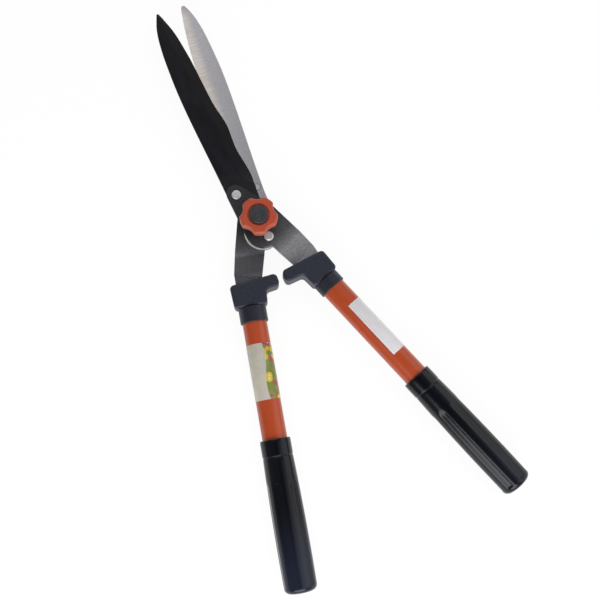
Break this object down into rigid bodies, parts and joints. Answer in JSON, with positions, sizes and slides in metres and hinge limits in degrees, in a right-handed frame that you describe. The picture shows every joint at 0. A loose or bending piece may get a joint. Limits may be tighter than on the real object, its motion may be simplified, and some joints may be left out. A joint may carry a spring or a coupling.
{
  "type": "hedge shears",
  "caption": "Hand hedge shears: black and bare steel blades riveted to cranked levers, star tension knob, stop blocks, orange tubes and fluted grips.",
  "frame": {"origin": "on the pivot axis, at the outer face of the pivot bolt's head", "axes": "+Y to the blade tips midway between the blades, +Z along the pivot through the knob, +X to the front half's handle"},
  "size_m": [0.2562, 0.5934, 0.0433],
  "materials": {
    "black_coated_steel": "black non-stick coating, satin",
    "ground_steel": "cross ground, satin",
    "lever_steel": "dark grey lacquer on steel plate",
    "rivet_steel": "bright domed heads",
    "zinc_steel": "zinc plated",
    "bush_brass": "turned",
    "orange_paint": "gloss powder coat",
    "filler_plastic": "moulded, unpolished",
    "grip_plastic": "smooth glossy moulding",
    "front_label_film": "printed white film",
    "rear_label_film": "printed cream film",
    "knob_plastic": "moulded, satin",
    "stop_plastic": "moulded, fine grain"
  },
  "bodies": {
    "rear_half": {"rear_blade": "ground_steel", "rear_lever": "lever_steel", "rear_nose_rivet": "rivet_steel", "rear_heel_rivet": "rivet_steel", "pivot_bolt": "zinc_steel", "rear_stop_block": "stop_plastic", "rear_collar": "stop_plastic", "rear_tube": "orange_paint", "rear_tube_filler": "filler_plastic", "rear_cross_pin": "zinc_steel", "rear_grip": "grip_plastic", "rear_tube_plug": "filler_plastic", "rear_label": "rear_label_film"},
    "front_half": {"front_blade": "black_coated_steel", "front_lever": "lever_steel", "front_nose_rivet": "rivet_steel", "front_heel_rivet": "rivet_steel", "pivot_bush": "bush_brass", "flat_washer": "zinc_steel", "spring_washer": "zinc_steel", "front_stop_block": "stop_plastic", "front_collar": "stop_plastic", "front_tube": "orange_paint", "front_tube_filler": "filler_plastic", "front_cross_pin": "zinc_steel", "front_grip": "grip_plastic", "front_tube_plug": "filler_plastic", "front_label": "front_label_film"},
    "knob": {"tension_knob": "knob_plastic", "knob_nut": "zinc_steel", "knob_cap": "stop_plastic"}
  },
  "joints": [
    {"name": "blade_pivot", "type": "hinge", "parent": "rear_half", "child": "front_half", "pos_m": [0, 0, 0], "axis": [0, 0, 1], "range_deg": [-5.4, 50]},
    {"name": "knob_turn", "type": "hinge", "parent": "rear_half", "child": "knob", "pos_m": [0, 0, 0], "axis": [0, 0, 1], "range_deg": [-180, 180]}
  ]
}
